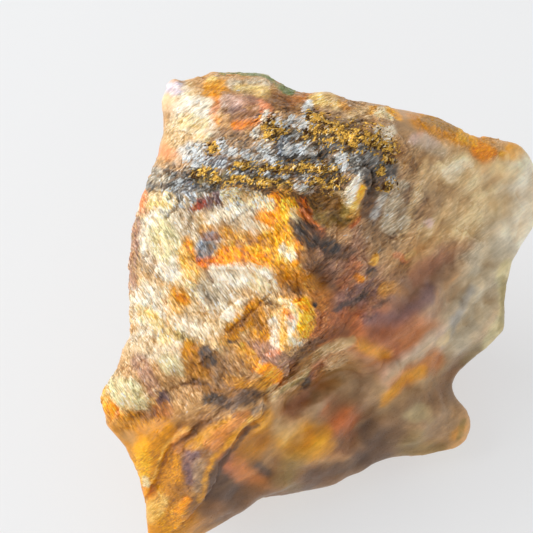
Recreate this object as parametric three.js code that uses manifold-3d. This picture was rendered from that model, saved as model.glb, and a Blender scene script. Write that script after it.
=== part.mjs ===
// A lump of iron-stained vein quartz that carries rows of native gold, about 46 mm across.
// The gold took the place of a bladed mineral, so it follows that mineral's layers in one grey band.
// Units are millimetres, +Z is up, and the stone rests on a small flat spot at z = 0.
import * as THREE from "three";
import { mergeVertices } from "three/addons/utils/BufferGeometryUtils.js";
import Module from "manifold-3d";

const wasm = await Module();
wasm.setup();

// ---- driving dimensions ----------------------------------------------------------------

// The show face is described in its own frame: u to the right, v up the face, w out of it.
const FACE_LEAN = THREE.MathUtils.degToRad(55); // angle of w above the horizon
const REST_DEPTH = 29.0; // how far the resting plane lies below the face frame's origin
const REACH_BACK = 20.0; // how far the back wall lies behind the face frame's origin

const STONE_COLOUR = 0xc79a62;
const STONE_DETAIL = 16; // subdivisions of the starting icosahedron
const FACE_DENSITY = 0.3; // share by which the triangles are drawn towards the show face
const MESH_TURN = 0.5; // turns the mesh about w, so that no line of it runs along the main ridge

// The rim is where the show face turns over to the back, as [u, v, w], clockwise from the top
// left corner.
const RIM = [
  [-10.1, 18.2, -4.0], [-9.4, 18.8, -4.5], [-8.6, 18.6, -5.0], [-7.5, 18.9, -5.5],
  [-6.2, 19.7, -6.5], [-5.2, 20.2, -7.5], [-2.9, 20.2, -8.5], [-0.7, 19.8, -8.0],
  [0.9, 19.0, -7.0], [2.3, 18.2, -6.0], [3.7, 17.6, -5.0], [6.5, 17.7, -4.5],
  [9.6, 16.9, -4.5], [11.2, 16.9, -5.0], [12.7, 16.7, -5.5], [13.6, 16.2, -6.0],
  [16.6, 15.6, -7.5], [20.3, 14.7, -9.0], [23.2, 13.4, -10.5], [26.0, 12.9, -11.5],
  [27.6, 11.5, -12.0], [28.9, 10.5, -12.5], [29.2, 8.1, -13.0], [28.3, 4.7, -13.5],
  [26.5, 2.0, -14.0], [25.8, 0.1, -14.5], [26.0, -1.9, -15.0], [25.6, -3.6, -15.3],
  [25.7, -5.4, -15.7], [25.3, -7.2, -16.0], [23.4, -9.2, -16.2], [20.9, -11.8, -16.5],
  [20.3, -13.0, -16.6], [20.5, -14.5, -16.8], [21.5, -16.8, -17.0], [21.1, -18.5, -17.0],
  [20.3, -19.7, -17.0], [17.9, -20.3, -16.8], [14.8, -20.4, -16.5], [11.9, -20.8, -16.0],
  [9.9, -21.8, -15.5], [6.4, -23.4, -14.5], [0.7, -24.7, -12.8], [-1.4, -24.8, -12.2],
  [-3.0, -25.6, -11.7], [-6.5, -27.9, -10.5], [-10.5, -29.8, -9.2], [-11.8, -29.5, -8.8],
  [-12.5, -27.7, -8.2], [-12.7, -23.8, -7.2], [-13.4, -20.2, -6.2], [-13.8, -18.6, -5.8],
  [-15.2, -17.9, -5.4], [-15.4, -17.2, -5.2], [-16.5, -16.0, -5.0], [-17.0, -14.9, -4.8],
  [-16.7, -13.0, -4.6], [-16.1, -11.3, -4.6], [-14.9, -10.4, -4.7], [-14.5, -8.7, -4.9],
  [-13.7, -7.0, -5.2], [-13.9, -3.9, -5.6], [-14.2, -0.9, -6.0], [-14.0, 2.5, -6.0],
  [-12.7, 7.0, -5.4], [-11.4, 10.6, -4.8], [-10.6, 12.8, -4.5], [-10.2, 16.2, -4.2],
];
const RIM_CENTRE = [3.4, -1.9];
const FACE_TURN = 5.5; // power by which the face turns over at the rim: higher is squarer
const FACE_RISE = 2;
const BACK_TURN = 3.4; // the same for the walls behind the rim
const BACK_RISE = 1.9;
const LEAST_CROWN = 0.6; // the face stands at least this far in front of the rim
const LEAST_DEPTH = 5.0; // and the back lies at least this far behind it

// The broad fracture planes of the show face: each passes through `at` (u, v, w) and climbs by
// `climb` along u and v. The face follows the lowest one.
const PLATEAU = { at: [3.4, 2.6, 2.8], climb: [0.29, 0.03] };
const CROWN = { at: [-2.6, 17.2, 0.3], climb: [0.0, -1.3] };
const FOOT = { at: [-8.6, -15.4, -0.5], climb: [0.1, 0.45] };
const FAR_SLOPE = { at: [3.9, 0.6, 3.0], climb: [-0.81, 0.53] };
const PLANE_BLEND = 0.35; // width over which two planes round into each other

// The far slope's upper edge bends to the right by these amounts, as [v, amount].
const RIDGE_BENDS = [
  [-21.0, -0.8], [-16.0, 1.2], [-12.0, -0.6], [-10.0, 0.6], [-7.6, 2.9], [-5.4, 3.8], [-2.4, 0.9],
  [0.6, 0.6], [4.0, -0.8], [6.6, 0.4],
];
const TERRACE = { at: [17.4, -3.4, -9.6], climb: [-0.42, 0.15] }; // flatter shelf of the far slope
const TERRACE_LIFT = 2.6;

// The gold-bearing band is a layer that ends in a ledge along this line, as [u, v, step height].
const LEDGE = [
  [-11.7, 9.4, 0.3], [-9.6, 9.1, 0.6], [-7.6, 8.5, 0.9], [-5.3, 8.1, 1.2], [-1.2, 8.0, 1.4],
  [3.4, 7.5, 1.9], [6.4, 7.3, 2.2], [8.1, 7.8, 2.2], [9.3, 8.2, 1.8], [11.5, 7.2, 1.0],
  [14.0, 7.5, 0.0],
];
const BAND_PLANE = { at: [3.4, 7.5, 4.1], climb: [-0.1, -0.14] };
const LEDGE_DRAW = 1.8; // corners of the mesh this near the ledge are drawn to its edge
const LEDGE_EDGE = 0.12; // half the width of the step

// Ridges and hollows of the show face: a line of [u, v] points, the height that it stands
// proud (or sinks, where negative) at its first and last point, and its half width.
const RELIEF = [
  { name: "orange nose", line: [[0.6, 6.6], [2.2, 5.2], [3.3, 0.6]], height: [0.9, 1.7], width: 1.6 },
  { name: "lower nose", line: [[2.6, -4.2], [3.8, -5.6], [2.4, -8.0]], height: [1.5, 1.9], width: 1.9 },
  { name: "saddle", line: [[5.2, -1.2], [3.4, -2.2], [0.6, -2.8]], height: [-2.2, -0.7], width: 1.1 },
  { name: "slab", line: [[-6.4, -0.4], [-3.0, 0.1], [0.0, -0.9]], height: [0.5, 0.7], width: 1.3 },
  {
    name: "slab foot",
    line: [[-7.4, -3.4], [-3.0, -4.6], [0.2, -5.6]],
    height: [-0.3, -0.6], width: 1.3,
  },
  { name: "hollow", line: [[4.6, 5.9], [7.2, 5.2]], height: [-1.9, -2.2], width: 1.5 },
  { name: "spur", line: [[8.9, 8.9], [8.5, 6.2], [8.1, 3.4]], height: [1.4, 1.0], width: 0.8 },
  { name: "notch", line: [[10.0, 8.6], [10.3, 6.4]], height: [-1.2, -0.7], width: 0.8 },
  { name: "row gutter", line: [[-4.0, 9.5], [1.0, 9.4], [7.0, 9.2]], height: [-0.5, -0.5], width: 0.5 },
  {
    name: "row gutter",
    line: [[-2.0, 11.2], [3.0, 11.0], [8.0, 11.2]],
    height: [-0.6, -0.6], width: 0.6,
  },
  {
    name: "pale rib",
    line: [[0.6, -13.2], [3.8, -11.2], [6.9, -8.6], [10.6, -7.6]],
    height: [1, 0.9], width: 1,
  },
  {
    name: "rib shadow",
    line: [[2.6, -13.6], [5.4, -12.0], [8.8, -10.8]],
    height: [-0.8, -1.3], width: 1,
  },
  { name: "knob", line: [[-15.4, -13.6], [-12.4, -11.2]], height: [1.2, 0.8], width: 2.0 },
  {
    name: "knob groove",
    line: [[-14.4, -16.9], [-10.6, -13.9], [-8.4, -11.2]],
    height: [-1.1, -0.8], width: 1.1,
  },
  {
    name: "fold groove",
    line: [[-7.1, -16.0], [-9.8, -18.2], [-11.8, -22.4]],
    height: [-0.7, -1.3], width: 1,
  },
  { name: "fold", line: [[-4.6, -16.4], [-6.6, -19.8], [-8.6, -24.0]], height: [1.1, 1.3], width: 1.5 },
  {
    name: "cream lobe",
    line: [[6.6, -14.2], [10.6, -13.0], [15.0, -8.6]],
    height: [0.8, 1.2], width: 1.7,
  },
  {
    name: "dark hollow",
    line: [[9.4, -17.4], [14.6, -14.6], [18.4, -10.6]],
    height: [-1.6, -1.3], width: 1.6,
  },
  { name: "corner lobe", line: [[16.6, -17.6], [19.4, -17.0]], height: [1.5, 1.0], width: 2.2 },
  { name: "tongue", line: [[2.0, -20.0], [7.0, -18.0], [8.4, -16.4]], height: [1.0, 0.8], width: 1.5 },
  {
    name: "foot hollow",
    line: [[-3.8, -23.2], [-0.6, -21.6], [2.6, -21.6]],
    height: [-1.2, -0.8], width: 1.4,
  },
];
const RELIEF_REACH = 3; // a ridge or hollow ends this many half widths from its line

// Ripples of the shelly fracture on the far slope: they run along `along`, waver a little, and fade
// in where the slope has dropped from `start` to `full` below its height at `from`.
const RIPPLE = {
  along: [0.8, 0.6],
  pitch: 3.6, height: 0.45, waver: 0.25,
  from: [4.0, 0.0],
  start: 1.0, full: 6.0,
};

// Fracture planes that bound the walls and the back, as an outward normal (x, y, z). Each lies
// `clear` beyond the outermost point of the rim.
const WALL_PLANES = [
  { name: "left flank", normal: [-0.93, -0.1, -0.3], clear: 0.4 },
  { name: "left heel", normal: [-0.62, 0.3, -0.72], clear: 3.4 },
  { name: "back", normal: [0.12, 0.95, -0.28], clear: 0.2 },
  { name: "back corner", normal: [0.6, 0.76, -0.25], clear: 0.2 },
  { name: "back left", normal: [-0.62, 0.76, -0.2], clear: -1.0 },
  { name: "right flank", normal: [0.9, 0.2, -0.4], clear: 0.3 },
  { name: "right heel", normal: [0.6, 0.2, -0.77], clear: 1.5 },
  { name: "under front", normal: [-0.1, -0.62, -0.78], clear: 0.6 },
];
const WALL_FLATNESS = 0.88; // share of what stands beyond a plane that is broken away

// The underside is a shallow bowl that stands on its lowest part.
const BOWL_CENTRE = [4.2, 3.0];
const BOWL_DEPTH = 2.2; // how far the bowl reaches below the resting plane, where it is cut off
const BOWL_CURVE = 0.017; // rise of the bowl per square millimetre

// Roughness of the broken skin: flat chips of one size over chips of a smaller one.
const CHIPS = [
  { cell: 7.5, height: 3.4, seed: 11 },
  { cell: 3.2, height: 1.1, seed: 29 },
];
const FACE_CHIP_SHARE = 0.16; // how much of the chips' height shows on the show face
const CHIP_TILT = [1.6, 1.0];
const CHIP_LIFT = 0.8;

// Rows of gold and of clear quartz grains in the band, as a line of [u, v] points, the width
// that the grains scatter over, how many there are and their mean radius.
const GOLD_ROWS = [
  {
    line: [[-5.4, 8.9], [-2.0, 8.8], [1.4, 8.7], [4.6, 8.7], [7.0, 8.2]],
    width: 0.5, count: 21, radius: 0.44,
  },
  { line: [[-3.4, 10.1], [0.0, 10.0], [3.4, 9.9], [6.8, 9.9]], width: 0.5, count: 15, radius: 0.44 },
  { line: [[3.4, 13.0], [6.4, 13.5], [9.0, 13.0], [12.6, 12.2]], width: 1.5, count: 34, radius: 0.5 },
  { line: [[-0.4, 14.2], [0.2, 13.2], [1.4, 13.0]], width: 0.6, count: 7, radius: 0.42 },
  { line: [[3.6, 14.9], [5.6, 14.8]], width: 0.4, count: 5, radius: 0.4 },
];
const QUARTZ_ROWS = [
  { line: [[-5.0, 11.4], [-0.5, 11.0], [4.0, 11.6], [8.0, 11.0]], width: 1.0, count: 22, radius: 0.48 },
  { line: [[-8.0, 11.6], [-5.0, 12.4], [-2.0, 12.0]], width: 1.6, count: 9, radius: 0.55 },
  { line: [[7.6, 10.6], [8.2, 9.6], [9.2, 9.4]], width: 0.9, count: 6, radius: 0.55 },
];
const GRAIN_SEED = 5;
const GRAIN_SINK = 0.15; // how far a grain's centre lies below the skin, as a share of its radius
const GRAIN_SPREAD = 0.5; // range of the grains' radii, as a share of their mean
const CUBE_SIDE = 1.4; // side of a cubic grain whose corners reach about as far as its radius
const FULL_TURN = 2 * Math.PI;

// ---- the face frame --------------------------------------------------------------------

const ACROSS = new THREE.Vector3(1, 0, 0);
const UP_FACE = new THREE.Vector3(0, Math.sin(FACE_LEAN), Math.cos(FACE_LEAN));
const OUT = new THREE.Vector3(0, -Math.cos(FACE_LEAN), Math.sin(FACE_LEAN));

function fromFace(u, v, w) {
  return new THREE.Vector3()
    .addScaledVector(ACROSS, u)
    .addScaledVector(UP_FACE, v)
    .addScaledVector(OUT, w);
}

// ---- small helpers ---------------------------------------------------------------------

function randomFrom(seed) {
  let state = seed >>> 0;
  return () => {
    state = (Math.imul(state, 1664525) + 1013904223) >>> 0;
    return state / 4294967296;
  };
}

// Six steady pseudo-random numbers in 0..1 for one cell of a grid.
function cellNumbers(ix, iy, iz, seed) {
  const mixed =
    (Math.imul(ix, 73856093) ^ Math.imul(iy, 19349663) ^ Math.imul(iz, 83492791) ^
      Math.imul(seed, 2654435761)) >>> 0;
  const next = randomFrom(mixed);
  next();
  return [next(), next(), next(), next(), next(), next()];
}

// Height of the chip that owns this point: every chip is a small plane with its own tilt.
function chipHeight(point, cell, seed) {
  const base = [point.x, point.y, point.z].map((value) => Math.floor(value / cell));
  let nearest = Infinity;
  let height = 0;
  for (let dx = -1; dx <= 1; dx++) {
    for (let dy = -1; dy <= 1; dy++) {
      for (let dz = -1; dz <= 1; dz++) {
        const [ix, iy, iz] = [base[0] + dx, base[1] + dy, base[2] + dz];
        const [rx, ry, rz, tiltX, tiltY, lift] = cellNumbers(ix, iy, iz, seed);
        const px = point.x / cell - (ix + rx);
        const py = point.y / cell - (iy + ry);
        const pz = point.z / cell - (iz + rz);
        const distance = px * px + py * py + pz * pz;
        if (distance >= nearest) continue;
        nearest = distance;
        height = (tiltX - 0.5) * CHIP_TILT[0] * px + (tiltY - 0.5) * CHIP_TILT[1] * (py + pz);
        height += (lift - 0.5) * CHIP_LIFT;
      }
    }
  }
  return height;
}

function planeHeight(plane, u, v) {
  return plane.at[2] + plane.climb[0] * (u - plane.at[0]) + plane.climb[1] * (v - plane.at[1]);
}

function softMin(a, b, blend) {
  const h = THREE.MathUtils.clamp(0.5 + (0.5 * (b - a)) / blend, 0, 1);
  return THREE.MathUtils.lerp(b, a, h) - blend * h * (1 - h);
}

// Values between the rows of a table whose first column is sorted, such as [[x, a, b], ...].
function between(table, x) {
  const last = table.length - 1;
  if (x <= table[0][0]) return table[0].slice(1);
  if (x >= table[last][0]) return table[last].slice(1);
  const i = table.findIndex((row) => row[0] > x) - 1;
  const t = (x - table[i][0]) / (table[i + 1][0] - table[i][0]);
  return table[i].slice(1).map((value, k) => THREE.MathUtils.lerp(value, table[i + 1][k + 1], t));
}

// Distance from (u, v) to a line of points, and how far along it the nearest point lies, 0..1.
function alongLine(line, u, v) {
  let best = { distance: Infinity, share: 0 };
  for (let i = 0; i + 1 < line.length; i++) {
    const [au, av] = line[i];
    const [bu, bv] = line[i + 1];
    const length2 = (bu - au) ** 2 + (bv - av) ** 2;
    const t = THREE.MathUtils.clamp(((u - au) * (bu - au) + (v - av) * (bv - av)) / length2, 0, 1);
    const distance = Math.hypot(u - au - t * (bu - au), v - av - t * (bv - av));
    if (distance < best.distance) best = { distance, share: (i + t) / (line.length - 1) };
  }
  return best;
}

function pointOnLine(line, share) {
  const place = Math.min(share * (line.length - 1), line.length - 1 - 1e-9);
  const i = Math.floor(place);
  return [0, 1].map((k) => THREE.MathUtils.lerp(line[i][k], line[i + 1][k], place - i));
}

// ---- the show face ---------------------------------------------------------------------

function faceHeight(u, v) {
  const [bend] = between(RIDGE_BENDS, v);
  const slope = planeHeight(FAR_SLOPE, u - bend, v);
  const far = Math.max(slope, Math.min(planeHeight(TERRACE, u, v), slope + TERRACE_LIFT));
  let w = softMin(planeHeight(PLATEAU, u, v), far, PLANE_BLEND);
  w = softMin(w, planeHeight(CROWN, u, v), PLANE_BLEND);
  w = softMin(w, planeHeight(FOOT, u, v), PLANE_BLEND);

  const [ledge, step] = between(LEDGE, u);
  const inBand = THREE.MathUtils.smoothstep(v, ledge - LEDGE_EDGE, ledge + LEDGE_EDGE);
  const bandTop = Math.min(w + step, Math.max(w, planeHeight(BAND_PLANE, u, v)));
  w = THREE.MathUtils.lerp(w, bandTop, inBand);

  const [fromU, fromV] = RIPPLE.from;
  const drop = -FAR_SLOPE.climb[0] * (u - fromU) - FAR_SLOPE.climb[1] * (v - fromV);
  const phase = (u * RIPPLE.along[1] - v * RIPPLE.along[0]) / RIPPLE.pitch;
  const ripple = Math.sin(FULL_TURN * phase + RIPPLE.waver * u) * RIPPLE.height;
  w += ripple * THREE.MathUtils.smoothstep(drop, RIPPLE.start, RIPPLE.full);

  for (const { line, height, width } of RELIEF) {
    const { distance, share } = alongLine(line, u, v);
    if (distance > RELIEF_REACH * width) continue;
    w += THREE.MathUtils.lerp(height[0], height[1], share) * Math.exp(-((distance / width) ** 2));
  }
  return w;
}

// Draws v to the ledge's edge where it is near, so that the step there is crisp.
function drawnToLedge(u, v) {
  const [ledge] = between(LEDGE, u);
  const off = (v - ledge) / LEDGE_DRAW;
  if (Math.abs(off) >= 1) return v;
  return ledge + Math.sign(off) * (LEDGE_EDGE + (LEDGE_DRAW - LEDGE_EDGE) * off * off);
}

// ---- the whole skin --------------------------------------------------------------------

// Where a ray from the rim's centre at this angle meets the rim: its reach and the rim's w.
function rimAt(angle) {
  const du = Math.cos(angle);
  const dv = Math.sin(angle);
  for (let i = 0; i < RIM.length; i++) {
    const [au, av, aw] = RIM[i];
    const [bu, bv, bw] = RIM[(i + 1) % RIM.length];
    const pu = au - RIM_CENTRE[0];
    const pv = av - RIM_CENTRE[1];
    const eu = bu - au;
    const ev = bv - av;
    const cross = du * ev - dv * eu;
    if (Math.abs(cross) < 1e-12) continue;
    const reach = (pu * ev - pv * eu) / cross;
    const t = (pu * dv - pv * du) / cross;
    if (reach > 0 && t >= -1e-9 && t <= 1 + 1e-9) return { reach, w: THREE.MathUtils.lerp(aw, bw, t) };
  }
  throw new Error("the rim is open at " + angle);
}

// The back is bounded by an upright wall and by the bowl below, both as heights over (u, v).
function backHeight(u, v) {
  const wall = (v * Math.sin(FACE_LEAN) - REACH_BACK) / Math.cos(FACE_LEAN);
  const flat = -(REST_DEPTH + BOWL_DEPTH + v * Math.cos(FACE_LEAN)) / Math.sin(FACE_LEAN);
  const below = fromFace(u, v, flat);
  const off2 = (below.x - BOWL_CENTRE[0]) ** 2 + (below.y - BOWL_CENTRE[1]) ** 2;
  return Math.max(wall, flat + (BOWL_CURVE * off2) / Math.sin(FACE_LEAN));
}

const WALLS = WALL_PLANES.map(({ normal, clear }) => {
  const n = new THREE.Vector3(...normal).normalize();
  return { n, distance: Math.max(...RIM.map((point) => fromFace(...point).dot(n))) + clear };
});

function brokenAtWalls(point) {
  for (const { n, distance } of WALLS) {
    const over = point.dot(n) - distance;
    if (over > 0) point.addScaledVector(n, -over * WALL_FLATNESS);
  }
  return point;
}

function chipsAt(point) {
  return CHIPS.reduce((sum, { cell, height, seed }) => sum + chipHeight(point, cell, seed) * height, 0);
}

// Maps a direction, given as (u, v, w), to the point of the skin that lies that way.
function skinPoint(direction) {
  const straight = Math.acos(THREE.MathUtils.clamp(direction.z, -1, 1));
  const polar = straight - FACE_DENSITY * Math.sin(straight);
  const angle = Math.atan2(direction.y, direction.x);
  const rim = rimAt(angle);
  const spread = Math.sin(polar);
  const u = RIM_CENTRE[0] + rim.reach * spread * Math.cos(angle);
  const v = RIM_CENTRE[1] + rim.reach * spread * Math.sin(angle);
  const outward = fromFace(direction.x, direction.y, direction.z);

  if (polar < Math.PI / 2) {
    const rise = Math.pow(1 - Math.pow(spread, FACE_TURN), 1 / FACE_RISE);
    const drawn = THREE.MathUtils.lerp(v, drawnToLedge(u, v), rise);
    const top = Math.max(faceHeight(u, drawn), rim.w + LEAST_CROWN);
    const point = fromFace(u, drawn, THREE.MathUtils.lerp(rim.w, top, rise));
    return point.addScaledVector(outward, chipsAt(point) * FACE_CHIP_SHARE * rise);
  }
  const rise = Math.pow(1 - Math.pow(spread, BACK_TURN), 1 / BACK_RISE);
  const deep = Math.min(backHeight(u, v), rim.w - LEAST_DEPTH);
  const point = brokenAtWalls(fromFace(u, v, THREE.MathUtils.lerp(rim.w, deep, rise)));
  return point.addScaledVector(outward, chipsAt(point) * rise);
}

function asSolid(geometry) {
  geometry.deleteAttribute("normal");
  geometry.deleteAttribute("uv");
  const merged = mergeVertices(geometry, 1e-5);
  return new wasm.Manifold(
    new wasm.Mesh({
      numProp: 3,
      vertProperties: merged.attributes.position.array,
      triVerts: new Uint32Array(merged.index.array),
    }),
  );
}

function stoneSolid() {
  const ball = new THREE.IcosahedronGeometry(1, STONE_DETAIL);
  ball.rotateZ(MESH_TURN);
  ball.deleteAttribute("normal");
  ball.deleteAttribute("uv");
  const skin = mergeVertices(ball, 1e-5);
  const place = skin.attributes.position;
  const direction = new THREE.Vector3();
  for (let i = 0; i < place.count; i++) {
    direction.fromBufferAttribute(place, i).normalize();
    place.setXYZ(i, ...skinPoint(direction));
  }
  return asSolid(skin);
}

// ---- grains grown on the band ------------------------------------------------------------

// The point of the skin that lies straight below (u, v), looking down on the show face.
function skinBelow(skin, u, v) {
  const ray = new THREE.Raycaster(fromFace(u, v, 2 * REST_DEPTH), OUT.clone().negate());
  return ray.intersectObject(skin)[0].point;
}

// One crystal: a cube or an octahedron, turned at random and part sunk in the skin.
function grainSolid(seat, radius, random) {
  const side = radius * CUBE_SIDE;
  const geometry =
    random() < 0.5 ? new THREE.OctahedronGeometry(radius) : new THREE.BoxGeometry(side, side, side);
  const turn = new THREE.Euler(...[0, 1, 2].map(() => random() * FULL_TURN));
  const centre = seat.clone().addScaledVector(OUT, -GRAIN_SINK * radius);
  geometry.applyMatrix4(new THREE.Matrix4().makeRotationFromEuler(turn).setPosition(centre));
  return asSolid(geometry);
}

function withGrains(stone, skin, rows, seed) {
  const random = randomFrom(seed);
  let grown = stone;
  for (const { line, width, count, radius } of rows) {
    for (let i = 0; i < count; i++) {
      const [u, v] = pointOnLine(line, (i + random()) / count);
      const seat = skinBelow(skin, u + (random() - 0.5) * width, v + (random() - 0.5) * width);
      const size = radius * (1 + GRAIN_SPREAD * (random() - 0.5));
      grown = grown.add(grainSolid(seat, size, random));
    }
  }
  return grown;
}

// ---- the finished piece ------------------------------------------------------------------

// Cuts the underside flat where the stone rests.
function cutFlat(solid) {
  const size = 4 * REST_DEPTH;
  const below = new THREE.BoxGeometry(size, size, size).translate(0, 0, -REST_DEPTH - size / 2);
  return solid.subtract(asSolid(below));
}

function geometryOf(solid) {
  const { vertProperties, triVerts } = solid.getMesh();
  const geometry = new THREE.BufferGeometry();
  geometry.setAttribute("position", new THREE.BufferAttribute(new Float32Array(vertProperties), 3));
  geometry.setIndex(new THREE.BufferAttribute(new Uint32Array(triVerts), 1));
  return geometry;
}

// Puts the origin at the middle of the footprint, on the resting plane.
function standOnOrigin(geometry) {
  geometry.computeBoundingBox();
  const { min, max } = geometry.boundingBox;
  geometry.translate(-(min.x + max.x) / 2, -(min.y + max.y) / 2, -min.z);
  return geometry;
}

const rough = stoneSolid();
const skin = new THREE.Mesh(geometryOf(rough));
const gilded = withGrains(rough, skin, GOLD_ROWS, GRAIN_SEED);
const crusted = withGrains(gilded, skin, QUARTZ_ROWS, GRAIN_SEED + 1);
const geometry = standOnOrigin(geometryOf(cutFlat(crusted)));
geometry.computeVertexNormals();

const stone = new THREE.Mesh(
  geometry,
  new THREE.MeshStandardMaterial({ color: STONE_COLOUR, roughness: 0.55, flatShading: true }),
);
stone.name = "gold_quartz_stone";

const group = new THREE.Group();
group.add(stone);
export default group;
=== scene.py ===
"""A lump of iron-stained vein quartz with rows of native gold, dressed over its CAD solid.

The stone's skin is the CAD solid remeshed and broken into finer chips, then stained by minerals,
with painted shade and highlight among the stains.
Lengths are millimetres until a mesh is handed to Blender, which works in metres. Places on the
show face are (x, y) in the picture's 533 x 533 frame, x to the right and y down, and each
vertex is looked up there through the camera.
"""

import itertools

import bpy
import numpy as np
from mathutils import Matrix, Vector


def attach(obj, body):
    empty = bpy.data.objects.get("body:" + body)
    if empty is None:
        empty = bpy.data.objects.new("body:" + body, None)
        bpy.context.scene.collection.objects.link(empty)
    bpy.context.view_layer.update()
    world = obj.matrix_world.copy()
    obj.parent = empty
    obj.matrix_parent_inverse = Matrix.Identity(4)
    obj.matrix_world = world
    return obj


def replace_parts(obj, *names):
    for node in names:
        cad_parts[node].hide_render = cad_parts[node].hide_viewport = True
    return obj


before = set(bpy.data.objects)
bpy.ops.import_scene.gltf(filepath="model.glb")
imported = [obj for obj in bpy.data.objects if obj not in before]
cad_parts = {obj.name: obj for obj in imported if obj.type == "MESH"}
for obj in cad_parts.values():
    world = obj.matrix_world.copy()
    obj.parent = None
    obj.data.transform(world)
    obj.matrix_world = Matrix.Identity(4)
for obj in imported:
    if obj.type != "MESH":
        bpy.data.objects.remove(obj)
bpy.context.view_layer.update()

MM = 0.001  # metres

# ---- the show face and the camera ----

FACE_LEAN = np.radians(55)  # angle of the face's outward axis above the horizon
ACROSS = np.array([1.0, 0.0, 0.0])
UP_FACE = np.array([0.0, np.sin(FACE_LEAN), np.cos(FACE_LEAN)])
OUT = np.array([0.0, -np.cos(FACE_LEAN), np.sin(FACE_LEAN)])
FACE_ORIGIN = np.array([-6.095, -1.143, 29.0])  # the point of the stone that the camera looks at
VIEW_DISTANCE = 220.0  # from that point to the camera
PICTURE = 533  # side of the picture in pixels
VIEW_WIDTH = 53.3  # what the picture spans at the face's origin
SENSOR = 36.0
VIEW_CELL = 5.0  # pixels over which the frontmost stone is looked for
VIEW_MARGIN = 50  # cells kept for stone that reaches past the picture's left and top
VIEW_DEPTH = 5.0  # how far behind it the stone still belongs to the show face

# ---- the skin's mesh and the grains on it ----

VOXEL = 0.17
SMOOTH_PASSES = 10
HIDDEN_TRIANGLES = 60_000  # what the sides that face away from the camera are thinned to first
SKIN_TRIANGLES = 196_000
REST_RISE = 1.2  # height over which the flat spot's smoothness gives way to chips

GOLD_GRAINS = 9800
SUGAR_GRAINS = 6500
QUARTZ_GRAINS = 4000


# ---- noise ----


def hashed(cell, seed):
    """A steady pseudo-random number in 0..1 for each whole-numbered row of an (n, 3) array."""
    x, y, z = cell.astype(np.int64).astype(np.uint64).T
    mixed = x * np.uint64(73856093) ^ y * np.uint64(19349663) ^ z * np.uint64(83492791)
    mixed ^= np.uint64(seed * 2654435761 % 2**32)
    for shift, factor in ((13, 1274126177), (16, 2246822519), (15, 3266489917)):
        mixed = (mixed ^ mixed >> np.uint64(shift)) * np.uint64(factor) & np.uint64(0xFFFFFFFF)
    return mixed.astype(np.float64) / 0xFFFFFFFF


def noise(points, size, seed):
    """Smooth noise in 0..1 with lumps of about `size`."""
    place = points / size
    base = np.floor(place)
    t = place - base
    t = t * t * (3 - 2 * t)
    total = np.zeros(len(points))
    for corner in itertools.product((0, 1), repeat=3):
        weight = np.where(corner, t, 1 - t).prod(axis=1)
        total += weight * hashed(base + corner, seed)
    return total


def fractal(points, size, seed):
    """Noise in 0..1 with finer lumps on its lumps."""
    layers = [noise(points, size * 0.47**k, seed + 17 * k) * 0.5**k for k in range(3)]
    return sum(layers) / 1.75


def cells(points, size, seed):
    """For each point, the offset from its cell's seat in cell sizes, and the cell."""
    place = points / size
    base = np.floor(place)
    closest = np.full(len(points), np.inf)
    offset = np.zeros_like(place)
    owner = np.zeros_like(base)
    for step in itertools.product((-1, 0, 1), repeat=3):
        cell = base + step
        away = place - cell - np.stack([hashed(cell, seed + k) for k in range(3)], axis=1)
        far = np.sqrt((away**2).sum(axis=1))
        nearer = far < closest
        closest[nearer] = far[nearer]
        offset[nearer] = away[nearer]
        owner[nearer] = cell[nearer]
    return offset, owner


def chips(points, size, seed):
    """Heights in -1..1 of flat chips about `size` across, each with its own tilt and level."""
    offset, owner = cells(points, size, seed)
    tilt = np.stack([hashed(owner, seed + 3 + k) - 0.5 for k in range(3)], axis=1)
    level = hashed(owner, seed + 6) - 0.5
    return 1.3 * (tilt * offset).sum(axis=1) + 0.9 * level


def ramp(value, low, high):
    """0 below `low`, 1 above `high` and a smooth step between; falls where low > high."""
    t = np.clip((value - low) / (high - low), 0, 1)
    return t * t * (3 - 2 * t)


# ---- places on the show face ----


def in_face(points):
    """(u, v, w) of points: across, up and out of the show face, from its origin."""
    return (points - FACE_ORIGIN) @ np.stack([ACROSS, UP_FACE, OUT], axis=1)


def in_picture(points):
    """Where points appear in the picture, in its pixels."""
    u, v, w = in_face(points).T
    scale = PICTURE / VIEW_WIDTH * VIEW_DISTANCE / (VIEW_DISTANCE - w)
    return np.stack([PICTURE / 2 + u * scale, PICTURE / 2 - v * scale], axis=1)


def in_view(points):
    """1 for what lies near the frontmost stone at its place in the picture, 0 far behind it."""
    cell = tuple((in_picture(points) / VIEW_CELL).astype(int).T + VIEW_MARGIN)
    depth = in_face(points)[:, 2]
    nearest = np.full((np.max(cell) + 1,) * 2, -1e9)
    np.maximum.at(nearest, cell, depth)
    return ramp(depth, nearest[cell] - VIEW_DEPTH, nearest[cell] - VIEW_DEPTH / 2)


def facing(vectors):
    """How squarely each normal faces the camera's side of the stone, -1..1."""
    return vectors @ OUT


def frontness(points, outward):
    """1 on the stone's show face and round its edges, 0 on the sides that the camera can't see."""
    return ramp(facing(outward), -0.25, 0.05) * in_view(points)


def off_line(place, line):
    """Distance from each picture place to a line of points, and the side: -1 left, 1 right."""
    nearest = np.full(len(place), 1e9)
    side = np.ones(len(place))
    pairs = list(zip(line, line[1:])) or [(line[0], line[0])]
    for start, end in pairs:
        start = np.array(start, float)
        along = np.array(end, float) - start
        length2 = max(along @ along, 1e-9)
        t = np.clip((place - start) @ along / length2, 0, 1)
        x, y = (place - start - t[:, None] * along).T
        distance = np.hypot(x, y)
        nearer = distance < nearest
        nearest[nearer] = distance[nearer]
        side[nearer] = np.sign(along[0] * y - along[1] * x)[nearer]
    return nearest, side


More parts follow.
